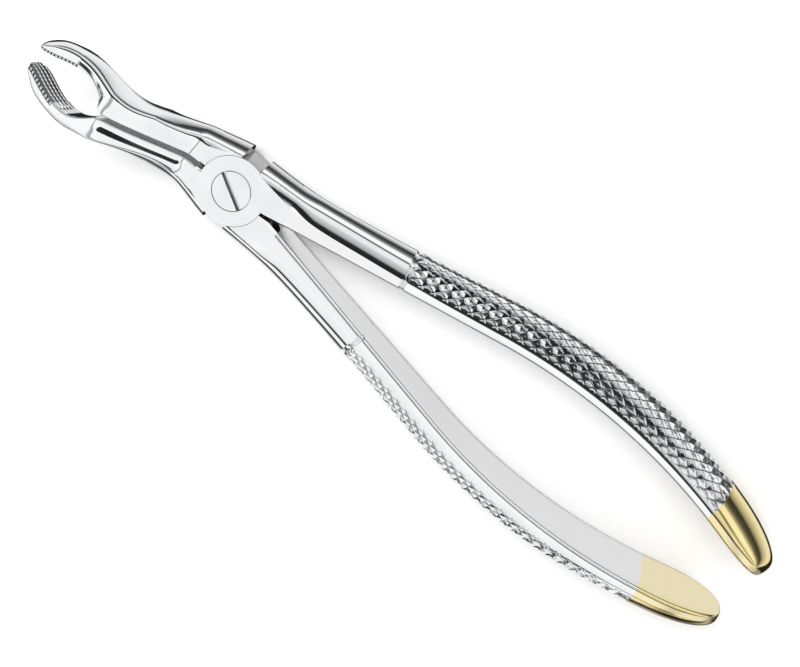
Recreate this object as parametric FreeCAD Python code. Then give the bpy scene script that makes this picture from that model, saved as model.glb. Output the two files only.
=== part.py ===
import FreeCAD, Part
import math
import os

# Tooth extraction forceps with bayonet beaks and a lap joint. Lengths are in millimetres.
#
# X runs along the instrument: the handles lie at +X and the beaks at -X.
# Z is the pivot axis, with the slotted screw head at +Z and the beaks set up towards +Z.
# Y is the direction in which the instrument opens.
# The origin is on the pivot axis, at the flat back face of the joint.
#
# The front half carries the disc under the screw head. Its handle is at +Y and its beak at -Y.
# The back half carries the threaded disc. Its handle is at -Y and its beak at +Y.
# Each half is one forging, divided here where its finish or its work changes.

# Driving dimensions of the joint
JOINT_THICKNESS = 8.6
LAP_CLEARANCE = 0.08
FRONT_DISC_RADIUS = 7.6
BACK_DISC_RADIUS = 7.6
BACK_EDGE_CHAMFER = 0.5
SHOULDER_CLEARANCE = 0.1
NECK_BLOCK_END_X = -2.3
SHANK_BLOCK_START_X = 2.8
CROTCH_HALF_GAP = 0.4

# Driving dimensions of the pivot screw
HEAD_RADIUS = 4.35
HEAD_HEIGHT = 1.6
SCREW_RADIUS = 2.5
HEAD_CLEARANCE = 0.06
BEARING_CLEARANCE = 0.05
THREAD_CLEARANCE = 0.02
SLOT_WIDTH = 1.0
SLOT_DEPTH = 0.9
SLOT_ANGLE = -32.0
HEAD_EDGE_CHAMFER = 0.12

# Where one zone of a half ends and the next begins
JOINT_NECK_X = -9.0
NECK_BEAK_X = -28.4
JOINT_SHANK_X = 13.0
GROOVE_X = 41.0
GRIP_END_X = 119.0
HANDLE_TIP_X = 137.0

# The handle's inner face runs straight out from the joint and then bows round in one arc
BOW_RADIUS = 130.0
BOW_PEAK_X = 89.7
BOW_PEAK_Y = 14.15
HANDLE_SLOPE = 0.208
HANDLE_CHAMFER = 0.45
HANDLE_HALF_WIDTH = [(12.0, 4.3), (20.0, 4.5), (42.0, 5.45), (80.0, 7.0), (118.0, 8.6), (137.0, 9.4)]
HANDLE_DEPTH = [
    (2.0, 10.8), (8.0, 9.6), (14.0, 8.6), (26.0, 7.85), (42.0, 7.6),
    (60.0, 7.8), (82.0, 7.85), (100.0, 7.6), (118.0, 6.85), (137.0, 6.3),
]
HANDLE_FLAT = [
    (2.0, 8.7), (8.0, 6.3), (13.0, 4.6), (19.0, 3.4), (28.0, 2.8), (41.0, 2.3), (60.0, 2.0), (137.0, 2.0),
]
GROOVE_HALF_LENGTH = 0.3
GROOVE_DEPTH = 0.4
END_CAP_STEP = 0.2
TIP_LENGTH = 14.0
TIP_POWER = 2.2
TIP_DEPTH_POWER = 0.6
TIP_INNER_RISE = 1.4
TIP_END_SHARE = 0.12

# The neck and beak. Each outline is a list of (x, value) points on a smooth curve.
NECK_HALF_GAP = 0.55
BEAK_TOP_Z = [(-47.0, 18.6), (-45.6, 18.95), (-43.4, 19.75), (-37.9, 20.85), (-31.0, 21.8), (-28.4, 22.2)]
NECK_TOP_Z = [
    (-28.4, 22.2), (-26.2, 21.4), (-24.3, 20.2), (-20.7, 17.0), (-17.0, 13.7), (-13.1, 10.6),
    (-11.0, 9.3), (-8.8, 8.6),
]
BOTTOM_Z = [
    (-47.0, 12.9), (-45.6, 12.75), (-42.0, 13.5), (-38.0, 14.4), (-33.0, 15.0), (-29.0, 13.5),
    (-25.0, 10.4), (-20.0, 6.1), (-15.0, 2.0), (-11.5, 0.3), (-9.0, 0.0),
]
OUTER_MIDDLE_Y = [
    (-47.0, 3.6), (-45.7, 4.9), (-43.3, 6.5), (-40.0, 7.5), (-35.0, 7.9), (-29.5, 6.6),
    (-25.0, 5.35), (-20.0, 5.75), (-14.0, 6.75), (-8.4, 8.1), (-3.0, 9.5), (0.0, 10.1),
]
OUTER_TOP_Y = [
    (-47.0, 2.8), (-45.7, 3.4), (-44.0, 4.6), (-40.2, 5.95), (-34.5, 6.65), (-27.8, 5.65),
    (-21.9, 4.55), (-15.5, 3.8), (-12.0, 4.15), (-8.3, 5.1), (-5.6, 6.2), (-3.0, 7.1), (0.0, 7.7),
]
BEAK_INNER_Y = [
    (-47.0, 1.75), (-45.6, 2.0), (-43.4, 2.65), (-41.1, 3.45), (-38.0, 4.35), (-35.5, 4.6),
    (-33.3, 4.25), (-31.6, 3.35), (-30.3, 2.3), (-29.2, 1.15), (-28.6, 0.55),
]
BEAK_CHAMFER = 0.35
BEAK_TIP_X = -47.0
BEAK_TIP_ROUNDING = 1.2
BEAK_TIP_END_SHARE = 0.6
BEAK_LEAN = -0.19
LEAN_START_X = -27.0
LEAN_END_X = -31.0
INSERT_THICKNESS = 0.9
INSERT_END_X = -37.6

# Which side of the middle plane each half's handle is on
FRONT = 1
BACK = -1

# How finely the smooth shapes are described: spans along each run, and round each outer arc
JOINT_ARM_SPANS = 6
NECK_SPANS = 12
BEAK_SPANS = 18
BEAK_TIP_SPANS = 3
INSERT_SPANS = 8
SHANK_SPANS = 8
GRIP_SPANS = 16
END_CAP_SPANS = 2
HANDLE_TIP_SPANS = 10
ARC_SPANS = 12

# How far a cutting shape runs past what it cuts
MARGIN = 20.0
INSERT_MARGIN = 1.0
INSERT_ZONE_HALF_HEIGHT = 5.0


def spline(knots, x):
    """Natural cubic spline through (x, value) knots in rising x, flat beyond its ends."""
    last = len(knots) - 1
    if x <= knots[0][0]:
        return knots[0][1]
    if x >= knots[last][0]:
        return knots[last][1]
    gaps = [knots[i + 1][0] - knots[i][0] for i in range(last)]
    rises = [(knots[i + 1][1] - knots[i][1]) / gaps[i] for i in range(last)]
    upper = [0.0] * (last + 1)
    bend = [0.0] * (last + 1)
    for i in range(1, last):
        pivot = 2.0 * (gaps[i - 1] + gaps[i]) - gaps[i - 1] * upper[i - 1]
        upper[i] = gaps[i] / pivot
        bend[i] = (6.0 * (rises[i] - rises[i - 1]) - gaps[i - 1] * bend[i - 1]) / pivot
    for i in range(last - 1, 0, -1):
        bend[i] -= upper[i] * bend[i + 1]
    i = max(j for j in range(last) if knots[j][0] <= x)
    after = x - knots[i][0]
    before = knots[i + 1][0] - x
    cubic = (bend[i] * before ** 3 + bend[i + 1] * after ** 3) / (6.0 * gaps[i])
    start = (knots[i][1] / gaps[i] - bend[i] * gaps[i] / 6.0) * before
    end = (knots[i + 1][1] / gaps[i] - bend[i + 1] * gaps[i] / 6.0) * after
    return cubic + start + end


def levelled(knots):
    """The same outline run on past its last knot as its own mirror image, so that it ends level there."""
    end_x = knots[-1][0]
    return knots + [(2.0 * end_x - x, value) for x, value in reversed(knots[-4:-1])]


def level_spline(knots, x):
    """Smooth outline that runs level into its last knot and stays at that value beyond it."""
    return spline(levelled(knots), min(x, knots[-1][0]))


def spaced(start, end, count):
    """count + 1 values from start to end."""
    return [start + (end - start) * i / count for i in range(count + 1)]


def outer_arc(depth, flat, half):
    """Points on the circular arc from (flat, half) out through (depth, 0) to (flat, -half)."""
    rise = depth - flat
    radius = (rise ** 2 + half ** 2) / (2.0 * rise)
    sweep = math.atan2(half, radius - rise)
    turns = [sweep * (1.0 - 2.0 * i / ARC_SPANS) for i in range(ARC_SPANS + 1)]
    return [(depth - radius + radius * math.cos(turn), radius * math.sin(turn)) for turn in turns]


def d_wire(place, depth, flat, half, chamfer):
    """Closed D outline: flat inner face, chamfered corners, flat sides and one outer arc.

    place turns (distance outwards, height) into a point."""
    corners = [
        (flat, -half), (chamfer, -half), (0.0, chamfer - half), (0.0, half - chamfer), (chamfer, half),
        (flat, half),
    ]
    points = [place(*corner) for corner in corners]
    edges = [Part.makeLine(points[i], points[i + 1]) for i in range(len(points) - 1)]
    back = Part.BSplineCurve()
    back.interpolate(
        [place(*point) for point in outer_arc(depth, flat, half)],
        Parameters=[i / ARC_SPANS for i in range(ARC_SPANS + 1)],
    )
    edges.append(back.toShape())
    return Part.Wire(edges)


def handle_line(x):
    """Distance of the handle's inner face from the middle plane, and its direction in radians."""
    slope_angle = math.atan(HANDLE_SLOPE)
    bow_start_x = BOW_PEAK_X - BOW_RADIUS * math.sin(slope_angle)
    bow_start_y = BOW_PEAK_Y - BOW_RADIUS * (1.0 - math.cos(slope_angle))
    if x < bow_start_x:
        return bow_start_y + HANDLE_SLOPE * (x - bow_start_x), slope_angle
    run = x - BOW_PEAK_X
    y = BOW_PEAK_Y - BOW_RADIUS + math.sqrt(BOW_RADIUS ** 2 - run ** 2)
    return y, -math.asin(run / BOW_RADIUS)


def tip_share(x):
    """How much of the full section is left where the handle rounds off to its tip."""
    run = (x - (HANDLE_TIP_X - TIP_LENGTH)) / TIP_LENGTH
    if run <= 0.0:
        return 1.0
    share = (1.0 - min(run, 1.0) ** TIP_POWER) ** (1.0 / TIP_POWER)
    return max(share, TIP_END_SHARE)


def handle_wire(x, side, inset=0.0, proud=0.0):
    """The handle's section at x. inset shrinks the sides and back; proud grows the back only."""
    y, angle = handle_line(x)
    share = tip_share(x)
    depth_share = share ** TIP_DEPTH_POWER
    half = spline(HANDLE_HALF_WIDTH, x) * share - inset
    depth = spline(HANDLE_DEPTH, x) * depth_share - inset + proud
    flat = spline(HANDLE_FLAT, x) * depth_share
    rise = TIP_INNER_RISE * (1.0 - share)

    def place(out, up):
        away = rise + out
        return FreeCAD.Vector(
            x - math.sin(angle) * away, side * (y + math.cos(angle) * away), JOINT_THICKNESS / 2.0 + up
        )

    return d_wire(place, depth, flat, half, HANDLE_CHAMFER * share)


def beak_lean(x):
    """Sideways lean of a section per millimetre of height, so that the beak's end is square to it."""
    return BEAK_LEAN * min(1.0, max(0.0, (LEAN_START_X - x) / (LEAN_START_X - LEAN_END_X)))


def beak_tip_share(x):
    """How much of the full section is left where the beak's end is rounded."""
    run = min(1.0, max(0.0, (BEAK_TIP_X + BEAK_TIP_ROUNDING - x) / BEAK_TIP_ROUNDING))
    return math.sqrt(1.0 - (1.0 - BEAK_TIP_END_SHARE ** 2) * run ** 2)


def beak_frame(x):
    """Middle height, half height and the three distances from the middle plane at x."""
    top = spline(BEAK_TOP_Z, x) if x < BEAK_TOP_Z[-1][0] else level_spline(NECK_TOP_Z, x)
    bottom = level_spline(BOTTOM_Z, x)
    inner = spline(BEAK_INNER_Y, x)
    half = (top - bottom) / 2.0 * beak_tip_share(x)
    return (top + bottom) / 2.0, half, inner, spline(OUTER_MIDDLE_Y, x), spline(OUTER_TOP_Y, x)


def beak_wire(x, side):
    """The neck's or beak's section at x, on the given side of the middle plane."""
    middle, half, inner, outer, flat_edge = beak_frame(x)
    lean = beak_lean(x)

    def place(out, up):
        return FreeCAD.Vector(x + lean * up, side * (inner + out), middle + up)

    return d_wire(place, outer - inner, flat_edge - inner, half, BEAK_CHAMFER)


def loft(wires, ruled=False):
    return Part.makeLoft(wires, True, ruled)


def cylinder(radius, low, high):
    return Part.makeCylinder(radius, high - low, FreeCAD.Vector(0, 0, low))


def block(x_low, x_high, y_low, y_high, z_low, z_high):
    corner = FreeCAD.Vector(x_low, y_low, z_low)
    return Part.makeBox(x_high - x_low, y_high - y_low, z_high - z_low, corner)


def arms(side):
    """The full thickness blocks where the neck and the shank leave the disc, joined inside its edge."""
    core = cylinder(FRONT_DISC_RADIUS, -MARGIN, MARGIN)
    neck_sections = [beak_wire(x, -side) for x in spaced(JOINT_NECK_X, 0.0, JOINT_ARM_SPANS)]
    shank_sections = [handle_wire(x, side) for x in spaced(0.0, JOINT_SHANK_X, JOINT_ARM_SPANS)]
    beyond_neck = block(NECK_BLOCK_END_X, MARGIN, -MARGIN, MARGIN, -MARGIN, MARGIN)
    before_shank = block(-MARGIN, SHANK_BLOCK_START_X, -MARGIN, MARGIN, -MARGIN, MARGIN)
    if side == FRONT:
        crotch = block(-MARGIN, MARGIN, -MARGIN, CROTCH_HALF_GAP, -MARGIN, MARGIN)
    else:
        crotch = block(-MARGIN, MARGIN, -CROTCH_HALF_GAP, MARGIN, -MARGIN, MARGIN)
    neck_block = loft(neck_sections).cut(beyond_neck.cut(core))
    shank_block = loft(shank_sections).cut(before_shank.cut(core)).cut(crotch.cut(core))
    return [neck_block, shank_block]


def front_joint():
    """The front half's disc with its bearing hole and screw seat, and its two arms."""
    lap = (JOINT_THICKNESS + LAP_CLEARANCE) / 2.0
    body = cylinder(FRONT_DISC_RADIUS, lap, JOINT_THICKNESS).fuse(arms(FRONT))
    body = body.cut(cylinder(BACK_DISC_RADIUS + SHOULDER_CLEARANCE, -MARGIN, lap))
    body = body.cut(cylinder(SCREW_RADIUS + BEARING_CLEARANCE, -MARGIN, MARGIN))
    seat = JOINT_THICKNESS - HEAD_HEIGHT - HEAD_CLEARANCE
    body = body.cut(cylinder(HEAD_RADIUS + HEAD_CLEARANCE, seat, MARGIN))
    return body.removeSplitter()


def back_joint():
    """The back half's disc with its screw hole, and its two arms with shoulders round the front disc."""
    lap = (JOINT_THICKNESS - LAP_CLEARANCE) / 2.0
    edge = Part.makeCone(BACK_DISC_RADIUS - BACK_EDGE_CHAMFER, BACK_DISC_RADIUS, BACK_EDGE_CHAMFER)
    disc = cylinder(BACK_DISC_RADIUS, BACK_EDGE_CHAMFER, lap)
    body = disc.fuse([edge] + arms(BACK))
    body = body.cut(cylinder(FRONT_DISC_RADIUS + SHOULDER_CLEARANCE, lap, MARGIN))
    body = body.cut(cylinder(SCREW_RADIUS + THREAD_CLEARANCE, -MARGIN, MARGIN))
    return body.removeSplitter()


def pivot_screw():
    """Slotted screw: a flat head flush with the front face and a stem flush with the back face."""
    stem = cylinder(SCREW_RADIUS, 0.0, JOINT_THICKNESS - HEAD_HEIGHT)
    head_low = JOINT_THICKNESS - HEAD_HEIGHT
    head_rim = JOINT_THICKNESS - HEAD_EDGE_CHAMFER
    head = cylinder(HEAD_RADIUS, head_low, head_rim)
    edge = Part.makeCone(
        HEAD_RADIUS, HEAD_RADIUS - HEAD_EDGE_CHAMFER, HEAD_EDGE_CHAMFER, FreeCAD.Vector(0, 0, head_rim)
    )
    slot = block(
        -MARGIN, MARGIN, -SLOT_WIDTH / 2.0, SLOT_WIDTH / 2.0, JOINT_THICKNESS - SLOT_DEPTH, MARGIN
    )
    slot.rotate(FreeCAD.Vector(0, 0, 0), FreeCAD.Vector(0, 0, 1), SLOT_ANGLE)
    return stem.fuse([head, edge]).cut(slot).removeSplitter()


def neck(side):
    """The bar that carries the beak up out of the plane of the joint."""
    return loft([beak_wire(x, side) for x in spaced(NECK_BEAK_X, JOINT_NECK_X, NECK_SPANS)])


def beak_blank(side):
    """The whole beak, before it is divided into its body and its gripping insert."""
    rounding = spaced(BEAK_TIP_X, BEAK_TIP_X + BEAK_TIP_ROUNDING, BEAK_TIP_SPANS)
    rest = spaced(BEAK_TIP_X + BEAK_TIP_ROUNDING, NECK_BEAK_X, BEAK_SPANS)[1:]
    return loft([beak_wire(x, side) for x in rounding + rest])


def insert_zone(side):
    """The space that the insert takes up along the beak's inner face."""
    corners = [
        (-INSERT_MARGIN, -INSERT_ZONE_HALF_HEIGHT), (INSERT_THICKNESS, -INSERT_ZONE_HALF_HEIGHT),
        (INSERT_THICKNESS, INSERT_ZONE_HALF_HEIGHT), (-INSERT_MARGIN, INSERT_ZONE_HALF_HEIGHT),
        (-INSERT_MARGIN, -INSERT_ZONE_HALF_HEIGHT),
    ]
    wires = []
    for x in spaced(BEAK_TIP_X - INSERT_MARGIN, INSERT_END_X, INSERT_SPANS):
        middle, _, inner, _, _ = beak_frame(x)
        lean = beak_lean(x)
        outline = [FreeCAD.Vector(x + lean * up, side * (inner + out), middle + up) for out, up in corners]
        wires.append(Part.makePolygon(outline))
    return loft(wires)


def shank(side):
    """The smooth shank, ending in the ring groove in front of the grip."""
    groove_start = GROOVE_X - GROOVE_HALF_LENGTH
    groove_end = GROOVE_X + GROOVE_HALF_LENGTH
    bar = loft([handle_wire(x, side) for x in spaced(JOINT_SHANK_X, groove_start, SHANK_SPANS)])
    near_wall = loft([handle_wire(groove_start, side), handle_wire(GROOVE_X, side, GROOVE_DEPTH)], True)
    far_wall = loft([handle_wire(GROOVE_X, side, GROOVE_DEPTH), handle_wire(groove_end, side)], True)
    return bar.fuse([near_wall, far_wall])


def grip(side):
    """The grip, out to the crests of its diamond knurling."""
    start = GROOVE_X + GROOVE_HALF_LENGTH
    return loft([handle_wire(x, side) for x in spaced(start, GRIP_END_X, GRIP_SPANS)])


def end_cap(side):
    """The plated end, a little proud of the grip on its outer side, rounded off to the tip."""
    tip_start = HANDLE_TIP_X - TIP_LENGTH
    places = spaced(GRIP_END_X, tip_start, END_CAP_SPANS)
    for turn in spaced(0.0, math.pi / 2.0, HANDLE_TIP_SPANS)[1:]:
        places.append(tip_start + TIP_LENGTH * math.sin(turn))
    return loft([handle_wire(x, side, 0.0, END_CAP_STEP * tip_share(x)) for x in places])


def write(name, shape):
    if len(shape.Solids) != 1 or not shape.isValid():
        raise RuntimeError(name + " is not one valid solid")
    shape.Solids[0].exportStep(os.path.join("parts", name + ".step"))
    print(name, round(shape.Volume, 1))


def main():
    os.makedirs("parts", exist_ok=True)
    write("pivot_screw", pivot_screw())
    write("front_joint", front_joint())
    write("back_joint", back_joint())
    for label, side in (("front", FRONT), ("back", BACK)):
        blank = beak_blank(-side)
        zone = insert_zone(-side)
        write(label + "_beak", blank.cut(zone))
        write(label + "_beak_insert", blank.common(zone))
        write(label + "_neck", neck(-side))
        write(label + "_shank", shank(side))
        write(label + "_grip", grip(side))
        write(label + "_handle_end", end_cap(side))


main()
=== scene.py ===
import bpy
import math
import numpy as np
from mathutils import Matrix, Vector


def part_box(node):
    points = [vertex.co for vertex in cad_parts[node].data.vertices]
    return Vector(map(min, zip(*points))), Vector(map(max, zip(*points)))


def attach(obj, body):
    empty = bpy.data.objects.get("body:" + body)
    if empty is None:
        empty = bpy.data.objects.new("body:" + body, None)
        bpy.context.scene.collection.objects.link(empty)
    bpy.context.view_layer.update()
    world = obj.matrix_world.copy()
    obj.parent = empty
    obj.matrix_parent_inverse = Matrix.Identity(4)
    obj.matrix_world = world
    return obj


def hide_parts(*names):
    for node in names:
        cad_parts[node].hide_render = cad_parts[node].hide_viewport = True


# Tooth extraction forceps. Lengths are in millimetres in the CAD frame, where the screw's axis is Z, the
# beaks point to -X and the handles to +X. MM turns a length into metres. The CAD's middle plane is Y = 0.
MM = 0.001

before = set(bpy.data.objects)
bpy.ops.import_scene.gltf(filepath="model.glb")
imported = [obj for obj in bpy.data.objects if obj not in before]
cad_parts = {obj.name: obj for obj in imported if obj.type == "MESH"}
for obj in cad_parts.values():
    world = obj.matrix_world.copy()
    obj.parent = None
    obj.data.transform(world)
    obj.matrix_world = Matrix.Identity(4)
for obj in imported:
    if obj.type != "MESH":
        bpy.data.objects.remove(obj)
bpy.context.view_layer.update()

# The joint's thickness, and the two sides of the middle plane. The halves cross at the joint, so the front
# half has its handle on the +Y side and its neck, beak and insert on the -Y side.
JOINT_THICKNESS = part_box("pivot_screw")[1].z / MM
PLUS_Y = 1
MINUS_Y = -1
HANDLE_SIDES = {"front": PLUS_Y, "back": MINUS_Y}

# Where one zone of a half ends and the next begins
JOINT_NECK_X = -9.0
NECK_BEAK_X = -28.4
JOINT_SHANK_X = 13.0
GROOVE_END_X = 41.3
GRIP_END_X = 119.0
HANDLE_TIP_X = 137.0

# The ring groove between shank and grip
GROOVE_LENGTH = 1.3
GROOVE_DEPTH = 0.6
GROOVE_POWER = 1.6

# The handle, as in the CAD. SKIN_INSET keeps its skin just inside the CAD's. The tip rounds off over
# TIP_LENGTH, and its inner face rises there
BOW_RADIUS = 130.0
BOW_PEAK_X = 89.7
BOW_PEAK_Y = 14.15
HANDLE_SLOPE = 0.208
HANDLE_HALF_WIDTH = [(12.0, 4.3), (20.0, 4.5), (42.0, 5.45), (80.0, 7.0), (118.0, 8.6), (137.0, 9.4)]
HANDLE_DEPTH = [
    (2.0, 10.8), (8.0, 9.6), (14.0, 8.6), (26.0, 7.85), (42.0, 7.6),
    (60.0, 7.8), (82.0, 7.85), (100.0, 7.6), (118.0, 6.85), (137.0, 6.3),
]
HANDLE_FLAT = [
    (2.0, 8.7), (8.0, 6.3), (13.0, 4.6), (19.0, 3.4), (28.0, 2.8), (41.0, 2.3), (60.0, 2.0), (137.0, 2.0),
]
SKIN_INSET = 0.01
TIP_LENGTH = 14.0
TIP_POWER = 2.2
TIP_DEPTH_POWER = 0.6
TIP_INNER_RISE = 1.4
TIP_END_SHARE = 0.12

# The plated end's raised lip, and the small rounding at its very tip
END_CAP_STEP = 0.2
END_CAP_LIP = 0.3
HANDLE_LAST_SHARE = 0.6
HANDLE_LAST_STEP = 0.1

# The neck and beak, as in the CAD, except that the neck's top is up to 0.9 mm lower, beside the joint
BEAK_TOP_Z = [(-47.0, 18.6), (-45.6, 18.95), (-43.4, 19.75), (-37.9, 20.85), (-31.0, 21.8), (-28.4, 22.2)]
NECK_TOP_Z = [
    (-28.4, 22.2), (-27.9, 21.98), (-27.2, 21.56), (-26.2, 20.9), (-24.3, 19.55), (-20.7, 16.6),
    (-17.0, 13.3), (-13.2, 9.95), (-11.9, 8.95), (-11.0, 8.64), (-10.2, 8.6),
]
BOTTOM_Z = [
    (-47.0, 12.9), (-45.6, 12.75), (-42.0, 13.5), (-38.0, 14.4), (-33.0, 15.0), (-29.0, 13.5),
    (-25.0, 10.4), (-20.0, 6.1), (-15.0, 2.0), (-11.5, 0.3), (-9.0, 0.0),
]
OUTER_MIDDLE_Y = [
    (-47.0, 3.6), (-45.7, 4.9), (-43.3, 6.5), (-40.0, 7.5), (-35.0, 7.9), (-29.5, 6.6),
    (-25.0, 5.35), (-20.0, 5.75), (-14.0, 6.75), (-8.4, 8.1), (-3.0, 9.5), (0.0, 10.1),
]
OUTER_TOP_Y = [
    (-47.0, 2.8), (-45.7, 3.4), (-44.0, 4.6), (-40.2, 5.95), (-34.5, 6.65), (-27.8, 5.65),
    (-21.9, 4.55), (-15.5, 3.8), (-12.0, 4.15), (-8.3, 5.1), (-5.6, 6.2), (-3.0, 7.1), (0.0, 7.7),
]
BEAK_INNER_Y = [
    (-47.0, 1.75), (-45.6, 2.0), (-43.4, 2.65), (-41.1, 3.45), (-38.0, 4.35), (-35.5, 4.6),
    (-33.3, 4.25), (-31.6, 3.35), (-30.3, 2.3), (-29.2, 1.15), (-28.6, 0.55),
]
BEAK_TIP_X = -47.0
BEAK_TIP_ROUNDING = 1.2
BEAK_TIP_END_SHARE = 0.6
BEAK_LEAN = -0.19
LEAN_START_X = -27.0
LEAN_END_X = -31.0
INSERT_THICKNESS = 0.9
INSERT_END_X = -37.6
BEAK_LAST_SHARE = 0.86
BEAK_LAST_STEP = 0.15

# Chamfers and roundings. The shares limit them where a face is narrow. HANDLE_CREASE is the least angle
# by which the outer side turns down where it leaves the handle's flat side
HANDLE_CHAMFER = 0.55
EDGE_ROUNDING = 0.2
HANDLE_SHOULDER = 0.25
HANDLE_CREASE = math.radians(16.0)
CREASE_FULL_X = JOINT_SHANK_X + 6.0
NECK_EDGE = 0.35
NECK_EDGE_SHARE = 0.4
NECK_SHOULDER = 0.9
SHOULDER_SHARE = 0.35
LEAST_SHOULDER = 0.05
SHOULDER_STOP_X = JOINT_NECK_X - 0.2
NECK_FULL_X = JOINT_NECK_X - 4.0
BEAK_EDGE = 0.4
INSERT_SEAT_EDGE = 0.12

# The neck's ground front face: a low strip along the inner side, then a short rise to the outer side.
# The rise is mostly straight, with its two ends a little rounded. The back half's is ground less.
GROUND_DEPTH = 0.4
GROUND_STRIP = 0.75
GROUND_RISE = 1.5
RISE_STRAIGHT = 0.7
RISE_ROUNDED = 0.3
GROUND_START_X = -28.4
GROUND_FULL_X = -27.0
GROUND_FADE_X = -13.2
GROUND_STOP_X = -11.0
BACK_GROUND_SHARE = 0.3
SATIN_NECK_X = -11.2
GROUND_STEPS = 22

# The back half's flat side is wider than the front half's, and stops short of the outer side
BACK_EXTRA = 1.1
BACK_EXTRA_START_X = -45.0
BACK_EXTRA_FULL_X = -39.0
BACK_EXTRA_STOP_X = JOINT_NECK_X - 0.5
BACK_FLAT_MARGIN = 0.35

# The hollow along the inner side of the back half's beak, whose depth is HOLLOW_SLOPE of its width
HOLLOW_SHARE = 0.6
HOLLOW_SLOPE = 0.4
HOLLOW_CLIMB = math.radians(28.0)
HOLLOW_LIP = 0.12
HOLLOW_FADE_X = -30.3
HOLLOW_STOP_X = -29.1
HOLLOW_LEAST = 0.02
HOLLOW_STEPS = 10

# The knurling: diamonds along the grip and around it, and the plain strips that it leaves at its sides
DIAMONDS_LONG = 27
DIAMONDS_ROUND = 7
CELLS_PER_DIAMOND = 14
CELLS_PAST_EDGE = 4
KNURL_DEPTH = 0.55
KNURL_CREST_SHARE = 1.05
NARROW_STRIP = 1.8
WIDE_STRIP = 2.2
STRIP_STEPS = 5
KNURL_SIDE_FADE = 0.8
KNURL_END_FADE = 1.4
TANGENT_STEP = 0.05

# The serrated insert: lengthwise ridges, finer cuts across them, and rounded long edges. Points that lie
# deeper than TUCK_START also move down, by TUCK_SHARE of the excess, which notches the upper edge
TEETH_LONG = 11
RIDGES_HIGH = 6
CELLS_PER_TOOTH = 10
RIDGE_DEPTH = 0.5
RIDGE_LAND = 0.3
TOOTH_DEPTH = 0.4
TOOTH_REACH = 1.3
TOOTH_FULL = 0.4
TOOTH_FADE = 0.8
RIDGE_RIM = (0.1, 0.6)
INSERT_TIP_FADE = 0.5
INSERT_BEVEL_SHARE = 0.35
INSERT_CORNER = 0.12
INSERT_LEAST = 0.05
TUCK_START = 0.5
TUCK_SHARE = 0.5

# The beak's inner face, where the insert's grooves run out. RUN_OUT_BEVELS is how much longer the way
# round the insert's two bevels is than its height. SEAT_STEP is the steep step back to the insert's seat
RUN_OUT_X = -34.4
RUN_OUT_FULL_X = INSERT_END_X + 0.6
RUN_OUT_RIM = (0.5, 1.2)
RUN_OUT_BEVELS = 0.7
SEAT_STEP = 0.001

# Steps along the pieces and round their sections
NECK_STEPS = 150
SEAT_STEPS = 44
BEAK_STEPS = 48
SHANK_STEPS = 70
GROOVE_STEPS = 12
END_STEPS = 10
LIP_STEPS = 6
TIP_STEPS = 48
INNER_STEPS = 6
FLAT_STEPS = 6
CURVE_STEPS = 48
OUTER_STEPS = 20
SHOULDER_STEPS = 4
ROUND_STEPS = 6
CHAMFER_STEPS = 2
INSERT_BEND_STEPS = 10
INSERT_BACK_STEPS = 6
RUN_OUT_STEPS = 30


def spline(knots, x):
    """Natural cubic spline through (x, value) knots in rising x, flat beyond its ends."""
    last = len(knots) - 1
    if x <= knots[0][0]:
        return knots[0][1]
    if x >= knots[last][0]:
        return knots[last][1]
    gaps = [knots[i + 1][0] - knots[i][0] for i in range(last)]
    rises = [(knots[i + 1][1] - knots[i][1]) / gaps[i] for i in range(last)]
    upper = [0.0] * (last + 1)
    moments = [0.0] * (last + 1)
    for i in range(1, last):
        pivot = 2.0 * (gaps[i - 1] + gaps[i]) - gaps[i - 1] * upper[i - 1]
        upper[i] = gaps[i] / pivot
        moments[i] = (6.0 * (rises[i] - rises[i - 1]) - gaps[i - 1] * moments[i - 1]) / pivot
    for i in range(last - 1, 0, -1):
        moments[i] -= upper[i] * moments[i + 1]
    i = max(j for j in range(last) if knots[j][0] <= x)
    after = x - knots[i][0]
    before = knots[i + 1][0] - x
    cubic = (moments[i] * before ** 3 + moments[i + 1] * after ** 3) / (6.0 * gaps[i])
    start = (knots[i][1] / gaps[i] - moments[i] * gaps[i] / 6.0) * before
    end = (knots[i + 1][1] / gaps[i] - moments[i + 1] * gaps[i] / 6.0) * after
    return cubic + start + end


def level_spline(knots, x):
    """Smooth outline that runs level into its last knot and stays at that value beyond it."""
    end_x = knots[-1][0]
    mirrored = [(2.0 * end_x - far, value) for far, value in reversed(knots[-4:-1])]
    return spline(knots + mirrored, min(x, end_x))


def spaced(start, end, count):
    """count + 1 numbers at even steps."""
    return [start + (end - start) * i / count for i in range(count + 1)]


def bend(before, corner, after, steps):
    """Points on a smooth curve from before to after that turns towards the corner."""
    points = []
    for t in spaced(0.0, 1.0, steps):
        weights = ((1.0 - t) ** 2, 2.0 * t * (1.0 - t), t * t)
        points.append(tuple(
            weights[0] * a + weights[1] * b + weights[2] * c for a, b, c in zip(before, corner, after)
        ))
    return points


def outer_curve(depth, flat, half, crease, steps):
    """From the end of the flat side round to the middle of the outer side."""
    rise = depth - flat
    height = min((rise ** 2 + half ** 2) / (2.0 * half), half - rise * math.tan(crease))
    turn = math.atan2(rise, half - height)
    pull = math.cos(turn / 2.0)
    points = []
    for t in spaced(0.0, 1.0, steps):
        a = (1.0 - t) ** 2
        b = 2.0 * t * (1.0 - t) * pull
        c = t * t
        total = a + b + c
        points.append(((a * flat + b * depth + c * depth) / total, (a * half + b * height) / total))
    return points


def path_lengths(path):
    """Distance along a path to each of its points."""
    return np.concatenate([[0.0], np.cumsum(np.linalg.norm(np.diff(path, axis=0), axis=1))])


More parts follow.
